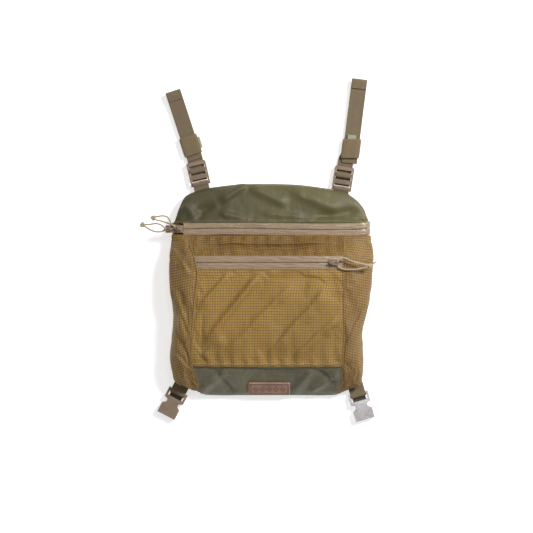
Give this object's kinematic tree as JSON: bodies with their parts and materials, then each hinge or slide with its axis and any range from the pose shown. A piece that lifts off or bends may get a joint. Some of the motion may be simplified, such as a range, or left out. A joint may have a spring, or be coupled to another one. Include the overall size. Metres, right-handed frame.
{
  "type": "binocular harness pack",
  "caption": "Chest pack for binoculars with a zipped lid, zipped front pocket, ladder-lock shoulder straps and side-release waist buckles.",
  "frame": {"origin": "centre of the back panel's outer face, which rests on the surface", "axes": "+Z out of the pack's front, +Y towards the shoulder straps, +X to the right seen from the front"},
  "size_m": [0.3047, 0.4435, 0.0529],
  "materials": {
    "ripstop_tan": "matt coated ripstop cloth",
    "ripstop_brown": "matt coated ripstop cloth",
    "olive_cloth": "matt brushed softshell cloth",
    "back_mesh": "open spacer mesh",
    "foam": "closed-cell foam pad",
    "lining": "smooth lining cloth",
    "zip_tape": "glossy coated zip tape",
    "zip_coil": "moulded nylon coil",
    "slider_metal": "satin painted zinc",
    "cord": "round braided cord",
    "webbing": "woven nylon webbing",
    "moulded_tan": "satin moulded acetal",
    "keeper_rubber": "matt moulded rubber",
    "sage_strip": "folded light tape",
    "leather": "smooth embossed leather"
  },
  "bodies": {
    "bag": {"back_panel": "back_mesh", "back_foam": "foam", "back_liner": "lining", "left_gusset": "ripstop_brown", "right_gusset": "ripstop_brown", "bottom_panel": "olive_cloth", "front_divider": "lining", "front_upper_band": "ripstop_tan", "main_zip_lower_tape": "zip_tape", "main_zip_lower_coil": "zip_coil", "main_zip_end": "zip_tape", "pocket_panel": "ripstop_tan", "pocket_zip_lower_tape": "zip_tape", "pocket_zip_upper_tape": "zip_tape", "pocket_zip_coil": "zip_coil", "leather_patch": "leather", "left_anchor_webbing": "webbing", "right_anchor_webbing": "webbing", "left_buckle_tab": "webbing", "right_buckle_tab": "webbing"},
    "lid": {"lid_panel": "olive_cloth", "main_zip_upper_tape": "zip_tape", "main_zip_upper_coil": "zip_coil"},
    "outer_slider": {"outer_slider": "slider_metal"},
    "inner_slider": {"inner_slider": "slider_metal"},
    "pocket_slider": {"pocket_slider": "slider_metal"},
    "outer_pull": {"outer_pull_tab": "slider_metal", "outer_pull_cord": "cord", "outer_cord_knot": "cord"},
    "inner_pull": {"inner_pull_tab": "slider_metal", "inner_pull_cord": "cord", "inner_cord_knot": "cord"},
    "pocket_pull": {"pocket_pull_tab": "slider_metal", "pocket_pull_cord": "cord", "pocket_cord_knot": "cord"},
    "left_lock": {"left_ladder_lock": "moulded_tan", "left_threaded_webbing": "webbing"},
    "right_lock": {"right_ladder_lock": "moulded_tan", "right_threaded_webbing": "webbing"},
    "left_strap": {"left_strap": "webbing"},
    "right_strap": {"right_strap": "webbing"},
    "left_keeper": {"left_keeper": "keeper_rubber", "left_keeper_strip": "sage_strip"},
    "right_keeper": {"right_keeper": "keeper_rubber", "right_keeper_strip": "sage_strip"},
    "left_buckle": {"left_buckle": "moulded_tan"},
    "right_buckle": {"right_buckle": "moulded_tan"}
  },
  "joints": [
    {"name": "lid_open", "type": "hinge", "parent": "bag", "child": "lid", "pos_m": [0, 0.1385, 0.0072], "axis": [-1, 0, 0], "range_deg": [0, 75]},
    {"name": "outer_slider_run", "type": "slide", "parent": "bag", "child": "outer_slider", "axis": [1, 0, 0], "range_m": [0, 0.08]},
    {"name": "inner_slider_run", "type": "slide", "parent": "outer_slider", "child": "inner_slider", "axis": [1, 0, 0], "range_m": [0, 0.15]},
    {"name": "pocket_slider_run", "type": "slide", "parent": "bag", "child": "pocket_slider", "axis": [-1, 0, 0], "range_m": [0, 0.16]},
    {"name": "outer_pull_lift", "type": "hinge", "parent": "outer_slider", "child": "outer_pull", "pos_m": [-0.128, 0.08, 0.0294], "axis": [0, 1, 0], "range_deg": [0, 120]},
    {"name": "inner_pull_lift", "type": "hinge", "parent": "inner_slider", "child": "inner_pull", "pos_m": [-0.1169, 0.08, 0.0294], "axis": [0.4695, 0.8829, 0], "range_deg": [0, 120]},
    {"name": "pocket_pull_lift", "type": "hinge", "parent": "pocket_slider", "child": "pocket_pull", "pos_m": [0.078, 0.03675, 0.0495], "axis": [0, -1, 0], "range_deg": [0, 120]},
    {"name": "left_lock_swing", "type": "hinge", "parent": "bag", "child": "left_lock", "pos_m": [-0.09029, 0.13868, 0.0056], "axis": [0.9736, 0.2284, 0], "range_deg": [-60, 30]},
    {"name": "right_lock_swing", "type": "hinge", "parent": "bag", "child": "right_lock", "pos_m": [0.09115, 0.13197, 0.0056], "axis": [0.9874, -0.1582, 0], "range_deg": [-60, 30]},
    {"name": "left_strap_adjust", "type": "slide", "parent": "left_lock", "child": "left_strap", "axis": [-0.3101, 0.9507, 0], "range_m": [0, 0.035]},
    {"name": "right_strap_adjust", "type": "slide", "parent": "right_lock", "child": "right_strap", "axis": [0.1242, 0.9923, 0], "range_m": [0, 0.035]},
    {"name": "left_keeper_slide", "type": "slide", "parent": "left_strap", "child": "left_keeper", "axis": [-0.3101, 0.9507, 0], "range_m": [0, 0.03]},
    {"name": "right_keeper_slide", "type": "slide", "parent": "right_strap", "child": "right_keeper", "axis": [0.1242, 0.9923, 0], "range_m": [0, 0.03]},
    {"name": "left_buckle_swing", "type": "hinge", "parent": "bag", "child": "left_buckle", "pos_m": [-0.1199, -0.1308, 0.0046], "axis": [-0.887, 0.4617, 0], "range_deg": [-45, 90]},
    {"name": "right_buckle_swing", "type": "hinge", "parent": "bag", "child": "right_buckle", "pos_m": [0.1129, -0.1336, 0.0046], "axis": [-0.9588, -0.284, 0], "range_deg": [-45, 90]}
  ]
}
